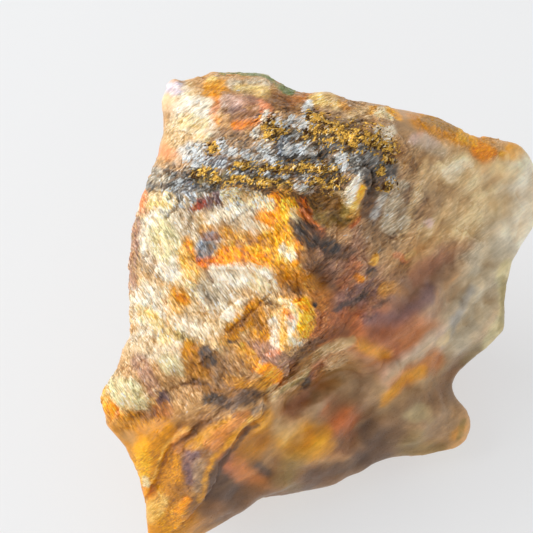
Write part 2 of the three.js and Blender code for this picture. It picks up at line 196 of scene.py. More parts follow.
def strokes(text):
    """Rows of values that end in a line of places: a row to a line, with x,y for a place."""
    rows = []
    for words in map(str.split, text.splitlines()):
        if words and words[0] != "#":
            values = [word if word.isalpha() else float(word) for word in words if "," not in word]
            line = [tuple(map(int, word.split(","))) for word in words if "," in word]
            rows.append((*values, line))
    return rows


# ---- the stone's minerals ----

# Colours of the minerals and stains, in 0..255 as seen on a screen.
MINERALS = {
    "milk": (244, 232, 208),
    "cream": (240, 214, 164),
    "straw": (234, 200, 122),
    "celadon": (216, 206, 158),
    "sand": (208, 176, 128),
    "tan": (196, 152, 102),
    "honey": (230, 162, 56),
    "ochre": (204, 136, 36),
    "amber": (255, 182, 58),
    "orange": (250, 148, 34),
    "rust": (206, 98, 28),
    "red": (160, 66, 42),
    "russet": (158, 94, 58),
    "clay": (204, 132, 74),
    "coral": (236, 148, 104),
    "pink": (234, 200, 190),
    "taupe": (156, 128, 98),
    "brown": (124, 84, 46),
    "umber": (90, 62, 40),
    "mauve": (158, 116, 98),
    "plum": (112, 84, 88),
    "charcoal": (60, 54, 52),
    "slate": (112, 110, 106),
    "steel": (122, 132, 148),
    "ice": (214, 222, 226),
    "olive": (130, 112, 58),
    "moss": (98, 124, 74),
    "smoke": (196, 182, 156),
    "lilac": (222, 208, 220),
}

# Patches of mineral on the show face, with some painted shadow and highlight among them, painted in
# this order:
# (mineral, half width, strength, line of places).
GROUND = strokes("""
sand 52 1 180,215 225,240 175,300 230,330
sand 30 1 160,330 190,350
tan 44 1 190,395 230,395 300,330 310,270
ochre 36 .9 150,440 170,520
brown 36 .8 190,450 230,450 260,470 300,440
brown 26 .8 215,500 280,495 330,480 380,450
tan 30 .9 330,390 300,430
taupe 30 .8 350,380 320,400
mauve 44 .8 330,250 370,290 420,310
rust 26 .5 330,330 400,340
sand 48 1 450,190 490,220 440,240
tan 26 .8 400,240 430,270
taupe 24 .9 380,180 405,200 385,225
smoke 30 .95 515,200 500,260 470,320 455,345
taupe 30 .9 460,370 410,410 370,440
taupe 14 .7 318,106 350,112 395,122 420,135
slate 15 .95 160,180 215,178 270,165 330,160 380,165
slate 15 .95 275,140 330,150 380,152
taupe 13 .85 222,142 262,150
brown 10 .85 258,100 285,102 310,106
""")

BAND = strokes("""
# crown and cream block
milk 18 .95 186,108 196,120
cream 13 .6 178,130 190,140
straw 7 .55 184,121 202,125
lilac 7 .9 170,90 178,88
milk 7 .7 183,100 205,105
cream 6 .6 186,88 202,88
tan 10 .9 200,84 222,80
honey 5 .6 206,85 222,83
ochre 5 .8 206,92 226,92
straw 4 .8 208,79 214,77
smoke 7 .9 234,84 262,86
straw 5 .7 238,88 266,92
moss 2.6 .8 222,70 240,71 262,75 280,83 292,92
# red patch and its mauve side
orange 3 .5 212,97 217,101
rust 3.5 .55 219,103 214,110
orange 3 .5 213,116 218,121
taupe 7 .8 229,100 235,112
mauve 10 .7 238,102 254,104 240,118
pink 6 .5 226,102 240,102
plum 3 .55 224,112 240,108 256,116
brown 3 .6 224,121 240,116 252,112
coral 5 .7 262,104 266,113
rust 4 .5 236,126 258,122
orange 3 .4 234,124 248,127 260,120
brown 8 .5 272,98 290,106
clay 5 .6 296,101 310,98
brown 5 .6 278,96 292,102
milk 2.5 .95 265,111 262,124 252,134 262,141 266,150
brown 5 .5 225,130 250,142
taupe 6 .6 240,150 262,138
# left part of the band
sand 12 .8 170,142 184,152
ice 8 .7 180,160 194,152 200,160
coral 6 .7 161,147 168,155
tan 8 .7 164,162 178,166
charcoal 2 .7 152,170 168,174 186,176 196,172
slate 9 .7 166,184 186,188
smoke 6 .6 155,174 164,180
steel 6 .8 184,188 196,190
umber 3 .5 160,184 166,188
slate 5 .8 200,190 226,192
# top right of the band
straw 5 .95 314,102 322,100
ice 3.5 .95 310,106 305,116
straw 5 .6 326,103 338,104
taupe 7 .7 328,112 342,114
ochre 4 .5 344,104 352,110
sand 7 .8 352,114 366,116
honey 5 .7 372,110 380,114
cream 6 .9 380,112 394,112
honey 5 .9 390,106 398,113
brown 8 .6 360,124 396,150
# dark matrix of the rows, and the shadow line below the ledge
charcoal 7 .6 310,117 330,124 356,124
charcoal 5 .56 276,152 300,160 330,152 350,150
charcoal 5 .48 230,168 262,176 290,174 335,178
olive 7 .6 200,176 240,180 285,180
charcoal 4 .9 222,185 256,186 290,189
charcoal 4.5 .9 306,189 330,191 345,189
umber 5 .7 255,190 290,192
charcoal 6 .56 364,172 372,166 390,170
slate 7 .8 370,160 386,164
# white and blue-grey crystal in the band
ice 5 .95 277,124 286,126
ice 4.5 1 290,121 300,125 310,129
ice 5 .68 262,148 270,156
ice 4 .6 243,155 258,157
steel 6 .8 282,142 286,152
ice 4 .9 286,146 290,152
ice 4 .95 298,148 316,150
ice 4.5 .95 218,144 232,156
steel 6 .6 206,158 222,164
ice 4 1 342,154 343,166
ice 3 .9 300,176 306,177
steel 2.5 .7 228,173 256,174 294,176
steel 4 .7 312,178 330,180
ice 4.5 .77 299,189 310,191
milk 5 .9 381,133 392,131
milk 3 .9 387,138 389,141
""")

# The fin at the end of the band. The charcoal close down its right side and along its upper left is
# painted shadow.
SPUR = strokes("""
charcoal 6 .75 369,176 371,202
charcoal 4 .8 326,191 340,188 350,179
cream 5 .9 352,190 345,195 334,196
straw 6 .85 352,200 348,207
milk 5 1 358,181 353,190 350,200
milk 2.2 1 362,172 360,180
amber 2.4 .9 361,184 360,196 354,208
charcoal 2 .95 366,174 366,186
straw 5 .6 346,210 358,208
ochre 4 .6 352,214 360,212
charcoal 7 .5 376,180 388,176
umber 5 .85 341,219 350,222
rust 3 .6 351,224 359,219
olive 16 .75 302,206 322,212 336,210
brown 12 .6 316,200 332,202
tan 10 .6 330,236 342,234
""")

# The nose. The straw and milk at its lower right are pale quartz with a painted highlight on its
# bump.
NOSE = strokes("""
amber 16 .9 282,206 284,226 290,250
brown 6 .7 276,194 298,197
amber 9 .7 288,206 284,216 276,234
orange 7 .85 274,200 272,214 279,232
orange 8 .7 264,206 267,218 282,236
cream 6 .7 252,196 268,204
honey 6 .8 281,226 288,244
cream 4 .7 260,224 270,231
cream 4 .9 293,212 298,220
amber 14 .85 246,250 268,246 284,258
straw 8 .9 284,252 296,250 292,262
milk 5 .9 285,248 294,254
orange 3.5 .9 299,240 301,256 296,264
rust 5 .6 302,204 308,220 318,234
coral 2.5 .6 300,206 310,222 322,236
umber 10 .8 302,230 314,240
charcoal 8 .8 303,230 313,239
charcoal 4 .8 292,222 300,232
umber 9 .7 330,250 344,252
charcoal 6 .9 327,246 334,246
brown 10 .8 308,256 314,268
brown 4 .4 250,238 262,236 272,242
ochre 11 .75 284,272 296,280
umber 4 .6 286,284 298,290
honey 10 .6 312,284 318,300
russet 13 .6 318,300 322,322 342,322
charcoal 2 .95 302,298
charcoal 2.5 .95 313,305
""")

PLATEAU = strokes("""
smoke 9 .7 186,196 196,200 190,212
cream 10 .85 158,198 168,204
straw 6 .8 152,204 166,208
taupe 7 .55 182,196 192,212 188,228
steel 4 .6 186,192 196,198
slate 3 .7 179,193 181,202 176,210 168,216
milk 9 .95 148,226 158,218 172,220
milk 7 .9 144,236 150,256 166,266
celadon 14 .95 162,232 168,248
mauve 4 .8 136,222 132,256 131,290
coral 4 .7 145,192 141,212
rust 2.5 .5 144,196 140,209
taupe 9 .7 148,264 160,270
milk 6 .8 160,270 174,274
smoke 9 .6 180,218 192,230
honey 9 .65 187,252 192,270
cream 9 .85 186,278 196,290
milk 5 .7 176,258 178,274
amber 6 .5 182,262 194,280
ochre 5 .9 186,240 192,246 198,254
orange 3 .8 188,242 194,250
ochre 6 .8 178,292 184,300
rust 3 .7 180,296 183,300
milk 13 .8 146,296 160,306 148,318
straw 8 .7 146,312 156,322
amber 4 .5 150,312 154,314
honey 9 .5 172,300 176,316
smoke 13 .75 218,208 246,204
milk 8 .5 214,220 244,212
taupe 7 .5 226,226 250,222
ochre 6 .7 206,230 226,232
milk 5 .7 244,216 254,230
plum 7 .9 206,204 214,200
red 4 .85 195,207 202,204
honey 4 .8 229,194 238,190
cream 7 .9 226,196 242,196 258,199
ochre 9 .8 206,260 224,258
rust 6 .75 203,261 222,262 242,262
orange 9 .85 228,256 246,258 262,262
ochre 7 .6 222,240 236,238 254,236
mauve 4 .7 240,244 252,240
steel 9.5 .95 207,249 211,241
slate 5 .6 206,252 212,242
mauve 4 .8 206,236 216,238
milk 11 .95 218,276 244,276 262,282
cream 8 .8 256,284 268,290
brown 3 .7 206,270 211,280
milk 9 .5 206,300 218,304
smoke 11 .6 204,290 218,296
slate 5 .4 202,290 210,300
milk 5 .9 236,296 246,302
milk 7 .8 224,312 234,318
sand 8 .7 248,308 268,296
milk 8 .6 180,322 204,330
ochre 7 .85 253,310 257,322
olive 7 .8 234,327 248,326
honey 5 .5 224,340 238,344
umber 5 .5 250,318 258,334
charcoal 4 .9 232,340 236,338
""")

LOWER_NOSE = strokes("""
honey 16 .85 286,312 288,332
cream 11 .5 278,322 288,334 294,320
milk 5 .9 272,324 274,344
milk 6 .95 292,322 298,338
honey 4 .6 284,318 284,330 282,344
cream 6 .7 276,304 292,305
amber 7 .95 302,304 306,318 302,332
orange 4 .9 296,302 304,308
rust 3 .7 286,314 291,319
umber 4 .6 266,300 276,308
ochre 8 .9 256,306 260,322 261,340
ochre 8 .9 234,332 246,318 258,305
brown 3 .7 230,334 244,324 250,312
umber 2.5 .7 246,301 258,301 266,305
umber 3 .6 255,312 261,330
mauve 10 .85 258,350 272,358 286,366
coral 3 .6 268,354 280,350
orange 7 .9 268,372 276,378
honey 6 .9 270,378 264,386
orange 5 .85 252,364 260,370
honey 7 .7 244,352 252,362
""")

LOWER_LEFT = strokes("""
milk 12 .6 140,342 160,348 178,350
sand 10 .7 130,354 146,344
olive 6 .8 182,338 190,346
straw 7 .6 164,338 174,334
celadon 9 .7 168,362 182,368
ochre 10 .95 191,354 196,370
ochre 6 .8 194,368 206,372
charcoal 7 .95 206,356 208,362
taupe 10 .7 220,366 224,384
brown 20 .55 204,372 236,376 232,394
brown 9 .6 182,390 206,394 234,394 262,390
charcoal 7 .85 206,354 209,362
brown 8 .6 190,392 202,398
umber 2.5 .6 176,388 186,384 196,382 204,384
mauve 8 .7 138,360 146,374 152,388
tan 9 .7 176,392 190,398
plum 4 .85 158,400 166,394 170,398
umber 4 .7 152,412 146,420 140,426
tan 10 .6 180,404 198,400
celadon 14 .95 116,388 128,396 134,410
cream 6 .7 122,394 130,400
honey 5 .7 106,388 104,398
orange 7 .9 107,408 114,414
sand 6 .6 118,424 127,432
coral 4 .6 116,414 120,418
russet 7 .6 134,418 150,412 168,410
charcoal 6 .8 208,398 218,402 232,408
charcoal 6 .7 240,403 254,398
slate 5 .6 255,412 264,408
umber 6 .5 214,408 236,404 256,394
ochre 5 .5 228,382 246,386 266,382
""")

# The foot. Its umber at the bottom of the lower fold is painted shadow, and the lines along its
# folds are painted highlights on their crests with painted shade beside them.
FOOT = strokes("""
ochre 19 .85 130,430 146,446 148,470 154,516
ochre 8 .8 142,430 170,430
tan 6 .7 122,436 128,440
amber 7 .6 136,446 141,460 143,476
cream 4 .7 144,478 146,486
ochre 4 .85 190,430 168,446 157,462 152,480
ochre 11 .9 168,456 162,482
brown 13 .6 178,462 178,504
ochre 7 .9 174,460 172,474
clay 8 .6 178,446 190,438
brown 11 .95 200,442 196,460 194,478
plum 7 .8 194,456 190,476
taupe 6 .6 202,468 196,486
orange 5 .95 146,492 152,498
straw 8 .45 158,502 154,518
ochre 7 .85 176,510 166,526
orange 4 .6 184,500 176,512
honey 7 .6 196,446 214,436 232,424
clay 8 .7 216,446 232,432 242,418
umber 13 1 212,496 232,487
brown 9 .9 200,514 218,505
coral 8 .7 232,462 242,470
russet 8 .5 228,462 242,456
clay 9 .8 248,472 260,474
plum 4 .5 240,452 232,460
charcoal 5 .6 264,460 268,466
ochre 10 .7 240,450 256,443 268,430
honey 8 .7 258,424 268,414
# lines along its folds
straw 2 .25 192,427 174,438 161,451 157,464 152,478
umber 2 .4 199,430 184,441 172,452 167,466
honey 2.5 .6 251,420 238,438 221,460 208,478 196,500
umber 2.5 .8 258,424 244,443 229,462 216,479 204,500
""")

# The far side. The charcoal just below the pale rib is painted shadow.
FAR_SIDE = strokes("""
# pale rib and what lies beside it
sand 5 .9 356,343 328,353 307,370 288,384 273,395
olive 2.5 .7 318,368 302,380 284,392
charcoal 5 .8 306,386 314,382
russet 9 .8 322,372 326,386
umber 8 .8 298,358 320,341 342,334
russet 9 .5 330,338 350,330
sand 12 .5 344,364 334,384
brown 10 .6 346,404 364,412
honey 9 .7 370,346 380,350
# brown and mauve slope
umber 10 .6 322,268 332,284
russet 9 .6 350,268 344,284
orange 4 .8 357,276 361,278
coral 4 .4 352,258 358,262
amber 3 .6 372,262 375,256
charcoal 4.5 .85 370,272 372,276
plum 8 .6 336,306 352,300 372,288
charcoal 3 .7 332,312 350,306 366,292
charcoal 2.5 .5 376,306 392,300
honey 6 .5 384,292 398,290
brown 8 .6 400,274 410,262
coral 3 .6 396,256 406,262 418,256
straw 2.5 .7 408,260 418,256
plum 12 .5 408,292 430,278 448,260
russet 7 .5 416,278 436,262
plum 7 .7 370,318 392,318 414,306 430,290
russet 12 .7 384,334 412,330
clay 9 .5 404,336 424,330
russet 8 .5 450,252 466,240
brown 9 .6 450,276 470,260
# grey and cream slope
umber 5 .7 384,178 376,196 366,212
ice 4 .6 392,178 384,196 374,214
smoke 5 .7 402,184 396,204 386,222
umber 5 .6 410,190 402,214 390,236
sand 5 .7 420,186 412,212 402,236
smoke 9 .4 384,196 400,206
umber 8 .4 368,200 374,216
smoke 8 .7 388,226 402,222
cream 7 .5 424,240 428,228
pink 3.5 .7 428,225 431,227
tan 9 .6 410,244 418,252
brown 9 .5 424,214 434,204 444,194
brown 8 .6 420,160 436,150 440,166
brown 8 .5 404,152 412,166
pink 7 .6 416,134 434,144
smoke 8 .5 424,140 440,150
cream 8 .9 448,172 462,160
milk 6 .5 449,174 464,162
ochre 9 1 420,118 440,124 462,136 488,148
ochre 13 1 430,116 447,122 470,132
olive 6 .5 430,116 447,122 462,128
rust 5 .4 474,150 494,153
orange 6 .6 476,147 494,151
amber 5 .6 456,132 470,140
honey 4 .8 504,152 518,156
honey 3 .6 514,146 522,152 532,158
cream 14 .6 480,190 500,200
cream 9 .6 462,230 478,216
cream 9 .6 498,164 516,172
milk 16 .75 534,170 532,205 522,232
# terrace at the far right
smoke 18 .8 486,262 472,300 462,330
steel 6 .35 470,292 452,326
celadon 5 .6 508,262 508,288 504,320 490,350
olive 3 .5 509,278 506,300 502,330
olive 6 .5 480,352 464,366
pink 9 .35 438,340 412,356 386,376
smoke 9 .6 428,344 392,372
cream 4 .5 450,334 440,342
sand 14 .6 436,366 412,384 396,396
clay 8 .8 438,356 420,372 394,388
honey 6 .7 420,376 398,388 384,396
# valley and corner lobe
brown 12 .5 452,374 430,398 402,414 380,430
umber 11 .8 374,430 384,446 372,454
taupe 16 .7 414,424 438,420
celadon 7 .3 410,424 424,416
olive 8 .5 410,446 440,446
ochre 5 .5 456,432 462,426
olive 3 .6 463,418 462,434
# lower edge
rust 13 .6 344,424 340,446
brown 12 .85 330,446 346,448 358,444
honey 13 .8 298,436 318,448
amber 7 .4 294,434 326,432
russet 9 .6 292,410 306,400
olive 11 .5 296,456 288,476
tan 6 .5 330,466 350,460
umber 6 .7 306,486 340,470 366,456
sand 8 .5 286,420 296,430
""")

PAINT = GROUND + BAND + SPUR + NOSE + PLATEAU + LOWER_NOSE + LOWER_LEFT + FOOT + FAR_SIDE

# Mottle of the sides and the back: (mineral, lump size, strength, least noise where it shows).
MOTTLE = [
    ("sand", 9.0, 0.9, 0.46),
    ("taupe", 8.0, 0.8, 0.60),
    ("honey", 6.5, 0.8, 0.54),
    ("cream", 6.0, 0.8, 0.56),
    ("brown", 5.5, 0.7, 0.64),
    ("ochre", 4.2, 0.7, 0.62),
    ("milk", 4.0, 0.6, 0.65),
    ("rust", 3.4, 0.5, 0.70),
    ("smoke", 4.4, 0.6, 0.62),
    ("mauve", 3.0, 0.6, 0.68),
    ("umber", 1.8, 0.6, 0.72),
]

# Rows of gold, as (half width, line).
GOLD_ROWS = strokes("""
4.5 196,175 206,172 214,176
4 212,180 226,181 248,180
4 236,167 248,165
3.8 254,181 266,182 286,183
4 256,167 278,168 292,169
4.6 292,168 312,169 334,168
4.5 312,182 326,180
5 326,186 336,183 342,180
6 268,136 276,132 286,133
4 264,128 272,124
6 308,136 318,130 330,134
9 322,134 344,136 352,142
8 352,134 366,139 378,142
5 374,142 392,147
5 310,118 322,120
4 330,124 344,128
4 209,150 214,148
3 386,158 392,160
4 384,186 392,184
3 378,172 382,170
""")

# The band's rows of clear and white crystal.
CRYSTAL_ROWS = [
    [(200, 160), (240, 152), (290, 158), (345, 160)],
    [(270, 128), (300, 126)],
    [(180, 186), (230, 190), (310, 190)],
]
GOLD_MATRIX = (84, 70, 42)  # the dark stone between the grains of gold
GOLD_COLOURS = ((84, 50, 14), (255, 208, 98), (255, 244, 214))  # dark, bright and glinting
# Painted shade in hollows, mixed with iron stain: what hollows multiply the colour by.
HOLLOW_SHADE_AND_STAIN = (0.62, 0.47, 0.30)  # what hollows multiply the colour by

# Where the stone is granular and sharp, as (half width, strength, line); the rest is smoother.
SHARP = strokes("""
34 .8 196,132 250,130
18 1.4 262,132 330,138 384,148
14 .8 310,106 350,112 384,118
24 1.4 200,176 280,170 330,170 372,160
34 1 165,190 240,190 330,185
48 1 150,240 220,230 290,240
46 1 150,310 230,310 290,320
40 .9 130,390 200,370 270,360
26 .8 330,250 360,280
24 .5 390,262 350,310
22 .7 210,405 250,405
20 .35 170,440 230,430
34 .75 392,165 396,215 360,235
40 .25 440,180 450,230
14 .45 430,122 490,148
14 .6 286,388 308,370 334,352
24 .5 152,470 190,466 172,512
16 .6 185,92 240,84 290,98
""")

# Folds, ridges and cracks, as (rise, reach on the left, reach on the right, line). Left and
# right are those of someone who walks along the line; rise and reaches are millimetres.
RELIEF = strokes("""
# the crown
.55 1.1 1.1 214,78 232,76 262,80
.5 .5 .5 168,88 173,86
# the fold that overhangs the lower right, and the lip at the foot
.8 .3 2.2 283,370 270,386 252,416 237,440 217,466 200,488 186,510
-.35 .5 .1 281,374 252,418 237,442 217,468 200,490
.45 .3 2.6 192,430 168,446 157,462 152,480
# the pale rib and the hollow below it
.65 .35 .35 356,343 328,353 307,370 288,384 273,395
-.5 .6 .6 322,372 306,386 292,398
# the fin at the end of the band
.9 .25 .4 362,171 361,182
.6 .25 1.1 360,188 356,206
-.5 .6 .25 366,172 367,188
# cracks
-.25 .18 .18 179,192 181,202 176,210 167,217
-.2 .2 .2 174,389 184,384 194,382 205,384
-.22 .16 .16 232,330 246,318 262,300 274,292
-.25 .2 .2 150,172 170,177 190,181 206,178
-.3 .22 .22 300,298 286,306 268,303
-.28 .2 .2 290,262 298,280 302,298 314,306
-.25 .22 .22 264,152 300,162 336,150 350,151
-.25 .2 .2 228,170 250,174 290,176 330,175
# the pale slab's sharp crescent edge
.3 .25 .9 276,288 273,279 260,270 235,266 212,267
""")

STREAK_DOWN = 0.56 * ACROSS - 0.83 * UP_FACE  # how the fibres run on the plateau and the nose
STREAK_UP = 0.80 * ACROSS + 0.60 * UP_FACE  # how the layers run in the band and on the far side


# ---- making meshes ----


def new_object(name, mesh):
    """A new object of the scene that shows this mesh."""
    made = bpy.data.objects.new(name, mesh)
    bpy.context.scene.collection.objects.link(made)
    return made


def applied(obj):
    """The mesh of an object with its modifiers applied; the object itself is removed."""
    graph = bpy.context.evaluated_depsgraph_get()
    mesh = bpy.data.meshes.new_from_object(obj.evaluated_get(graph), depsgraph=graph)
    bpy.data.objects.remove(obj)
    return mesh


def read(collection, what, width, kind=np.float32):
    """An attribute of every vertex, edge or face of a mesh, one row for each."""
    flat = np.zeros(len(collection) * width, kind)
    collection.foreach_get(what, flat)
    return flat.reshape(-1, width)


def places(mesh):
    return read(mesh.vertices, "co", 3).astype(float) / MM


def normals(mesh):
    return read(mesh.vertex_normals, "vector", 3).astype(float)


def move_to(mesh, points):
    mesh.vertices.foreach_set("co", (points * MM).astype(np.float32).ravel())
    mesh.update()


def neighbours_mean(values, edges):
    """For each vertex, the mean of a column of values over the vertices that it is joined to."""
    a, b = edges.T
    count = len(values)
    links = np.bincount(a, minlength=count) + np.bincount(b, minlength=count)
    columns = [
        np.bincount(a, values[b, k], count) + np.bincount(b, values[a, k], count)
        for k in range(values.shape[1])
    ]
    return np.stack(columns, axis=1) / np.maximum(links, 1)[:, None]


def blurred(values, edges, passes):
    for _ in range(passes):
        values = (values + neighbours_mean(values, edges)) / 2
    return values


# ---- the skin ----


def fibre_place(points, direction, stretch):
    """Points in axes along and across the fibres, drawn together along them."""
    axes = np.stack([direction / stretch, np.cross(OUT, direction), OUT], axis=1)
    return points @ axes


def fibrous(field, points, upward, size, stretch, seed):
    """A field, such as `fractal` or `chips`, drawn out along the stone's fibres."""
    ways = (STREAK_DOWN, STREAK_UP)
    down, up = (field(fibre_place(points, way, stretch), size, seed) for way in ways)
    return down + (up - down) * upward


def fibres_upward(place):
    """0 where the fibres run down to the right, 1 where they run up to the right."""
    x, y = place.T
    knob_side = y + 0.5 * (x - 200)
    return np.max([ramp(y, 198, 188), ramp(x, 305, 325), ramp(knob_side, 394, 410)], axis=0)


def sharpness(points, front):
    """How granular the skin is: 1 on the plateau, more in the band, 0 on its waxy parts."""
    hidden = 0.2 + 0.6 * ramp(noise(points, 6.0, 551), 0.25, 0.75)
    return front * line_mask(in_picture(points), SHARP, 0.0) + (1 - front) * hidden


def line_mask(place, lines, ragged):
    """The strongest of several soft strokes at each place, as (half width, strength, line)."""
    mask = np.zeros(len(place))
    for half_width, strength, line in lines:
        gap = off_line(place, line)[0] / half_width + ragged
        mask = np.maximum(mask, strength * ramp(gap, 1.3, 0.6))
    return mask


def skin_heights(points, place, sharp, front):
    """How far each point of the smooth skin is raised by chips, grain, layers and relief."""
    upward = fibres_upward(place)
    coarse = 0.26 * chips(points, 3.4, 401)
    coarse += 0.17 * fibrous(chips, points, upward, 1.2, 2.6, 421)
    fine = 0.10 * fibrous(chips, points, upward, 0.55, 2.6, 441)
    fine += 0.14 * (fibrous(fractal, points, upward, 0.42, 2.6, 461) - 0.5)
    height = 0.5 * (fibrous(fractal, points, upward, 2.6, 2.4, 481) - 0.5) * sharp
    swell = noise(points, 5.0, 491) + 0.35 * noise(points, 2.1, 493) - 0.67
    height += 1.3 * swell * (1 - 0.6 * sharp)
    height += coarse * (0.14 + 0.86 * sharp) + fine * (0.12 + 0.88 * sharp)
    for rise, left, right, line in RELIEF:
        gap, side = off_line(place, line)
        reach = np.where(side < 0, left, right) * PICTURE / VIEW_WIDTH
        height += front * rise * np.exp(-((gap / reach) ** 2))
    return height


def triangle_count(mesh):
    mesh.calc_loop_triangles()
    return len(mesh.loop_triangles)


def thinned(mesh, triangles, hidden=None):
    """The mesh with fewer triangles, kept where it bends most, or thinned at some vertices only."""
    worked = new_object("thinned", mesh)
    thin = worked.modifiers.new("thin", "DECIMATE")
    thin.ratio = triangles / triangle_count(mesh)
    if hidden is not None:
        group = worked.vertex_groups.new(name="hidden")
        group.add(np.flatnonzero(hidden).tolist(), 1.0, "REPLACE")
        thin.vertex_group = group.name
    return applied(worked)


def broken_skin(node):
    """The CAD solid's skin, remeshed finely, broken into chips and thinned out at the back."""
    rough = new_object("rough", node.data.copy())
    remesh = rough.modifiers.new("even", "REMESH")
    remesh.mode = "VOXEL"
    remesh.voxel_size = VOXEL * MM
    mesh = applied(rough)

    edges = read(mesh.edges, "vertices", 2, np.int32)
    points = blurred(places(mesh), edges, SMOOTH_PASSES)
    move_to(mesh, points)
    outward = blurred(normals(mesh), edges, 4)
    outward /= np.linalg.norm(outward, axis=1)[:, None]

    front = frontness(points, blurred(outward, edges, 24))
    sharp = sharpness(points, front)
    heights = skin_heights(points, warped(points, sharp), sharp, front)
    heights *= ramp(points[:, 2], 0, REST_RISE)
    points += outward * heights[:, None]
    points[:, 2] = np.maximum(points[:, 2], 0)
    move_to(mesh, points)

    hidden = facing(outward) < -0.15
    shown_triangles = triangle_count(mesh) * (1 - hidden.mean())
    mesh = thinned(mesh, shown_triangles + HIDDEN_TRIANGLES, hidden)
    mesh = thinned(mesh, SKIN_TRIANGLES)
    points = places(mesh)
    points[:, 2] = np.maximum(points[:, 2], 0)
    move_to(mesh, points)
    return mesh


# ---- painting ----


def linear(colour):
    """A colour in 0..255 as seen on a screen, as the linear values that a material takes."""
    share = np.array(colour, float) / 255
    return np.where(share <= 0.04045, share / 12.92, ((share + 0.055) / 1.055) ** 2.4)


def warped(points, sharp):
    """Picture places pushed about by noise, so that edges wander as real stains do."""
    soft = 1 - np.clip(sharp, 0, 1)
    pushes = [
        (noise(points, size, seed + k) - 0.5) * 2 * reach
        for size, seed, reach in ((4.6, 495, 9.0 * soft), (2.2, 501, 2.8), (0.7, 511, 1.4))
        for k in (0, 1)
    ]
    return in_picture(points) + np.stack([sum(pushes[0::2]), sum(pushes[1::2])], axis=1)


def painted(points, place, shown, sharp, upward):
    """The colour of each point, mineral with some painted shadow and highlight: patches where the
    camera sees it, mottle elsewhere.
    """
    soft = 1 - np.clip(sharp, 0, 1)
    ragged = (fibrous(fractal, points, upward, 0.7, 3.0, 521) - 0.5) * 2.2
    ragged += (fibrous(fractal, points, upward, 2.6, 2.6, 531) - 0.5) * 1.6 * soft
    colour = np.tile(linear(MINERALS["tan"]), (len(points), 1))
    for mineral, size, strength, least in MOTTLE:
        cloud = fractal(points, size, 101 + int(size * 60)) + 0.08 * ragged
        share = strength * ramp(cloud, least - 0.07, least + 0.05)
        colour += (linear(MINERALS[mineral]) - colour) * share[:, None]

    # Fibres along which the patches are worn thin; each patch takes one of three fields.
    worn = [
        ramp(fibrous(fractal, points, upward, 0.45, 3.4, seed), 0.52, 0.70)
        for seed in (561, 581, 601)
    ]
    worn = [1 - 0.6 * np.clip(sharp, 0, 1) * field for field in worn]
    seen = np.tile(linear(MINERALS["tan"]), (len(points), 1))
    for k, (mineral, half_width, strength, line) in enumerate(PAINT):
        blur = 0.30 + 0.65 * soft * np.interp(half_width, (3, 12), (0.2, 1.0))
        gap = off_line(place, line)[0] / half_width + ragged * 0.4
        share = np.minimum(1.08 * strength, 1) * ramp(gap, 1.05 + blur, 1.05 - blur)
        share *= worn[k % 3]
        seen += (linear(MINERALS[mineral]) - seen) * share[:, None]
    cloud = fractal(points, 2.2, 581) - 0.5
    share = ramp(shown + 0.15 * ragged + 1.2 * cloud, 0.8, 1.05)
    return colour + (seen - colour) * share[:, None]


def hollowness(points, outward, edges, passes):
    """Positive in pits and grooves and negative on edges, about -1..1."""
    around = blurred(points, edges, passes)
    depth = ((around - points) * outward).sum(axis=1)
    return np.clip(depth / (0.03 * np.sqrt(passes)), -1, 1)


def dressed_attributes(mesh):
    """Paints the skin, with painted shade in its hollows and painted highlights on its edges, and
    notes where it is sharp, which way its fibres run, and its gold.
    """
    points = places(mesh)
    outward = normals(mesh)
    edges = read(mesh.edges, "vertices", 2, np.int32)
    outlook = blurred(outward, edges, 12)
    front = frontness(points, outlook)
    sharp = sharpness(points, front)
    place = warped(points, sharp)
    upward = fibres_upward(place)

    shown = ramp(facing(outlook), -0.2, 0.5) * 0.5 + front
    colour = painted(points, place, shown, sharp, upward)
    near, wide = (hollowness(points, outward, edges, passes) for passes in (3, 20))
    # Painted shade: pits and grooves are darkened as if shaded, mixed with iron stain.
    shade_and_stain = colour * HOLLOW_SHADE_AND_STAIN
    hollow = np.clip(0.15 * near + 0.75 * wide, 0, 1)
    colour += (shade_and_stain - colour) * (hollow * 0.8)[:, None]
    # Painted highlight: edges and ridges are lightened as if lit.
    bright = np.minimum(colour * 1.35 + 0.04, 0.95)
    edge = np.clip(-0.5 * near - 0.5 * wide, 0, 1)
    colour += (bright - colour) * (edge * 0.8)[:, None]

    broken = fibrous(fractal, points, upward, 0.5, 2.6, 541)
    lines = [(0.88 * width, 1.0, line) for width, line in GOLD_ROWS]
    rows = front * line_mask(place, lines, (broken - 0.5) * 2.0)
    colour += (linear(GOLD_MATRIX) - colour) * (rows * 0.75)[:, None]
    gold = rows * ramp(broken, 0.41, 0.57)
    set_colours(mesh, "tint", colour)
    set_colours(mesh, "finish", np.stack([sharp, upward, gold], axis=1), front)
    return gold, front


def set_colours(mesh, name, colours, alpha=None):
    """A linear colour for each vertex of a mesh, with alpha 1 unless it is given."""
    layer = mesh.attributes.new(name, "FLOAT_COLOR", "POINT")
    alpha = np.ones(len(colours)) if alpha is None else alpha
    rows = np.concatenate([colours, alpha[:, None]], axis=1)
    layer.data.foreach_set("color", rows.astype(np.float32).ravel())


# ---- grains ----


def crumb(random):
    """The corners of a small lump of about unit radius: an icosahedron knocked out of shape."""
    golden = (1 + 5**0.5) / 2
    corners = [(0, a, b * golden) for a in (-1, 1) for b in (-1, 1)]
    corners += [(x, y, 0) for _, x, y in corners] + [(y, 0, x) for _, x, y in corners]
    corners = np.array(corners, float) / np.hypot(1, golden)
    return corners * random.uniform(0.72, 1.15, (12, 1))


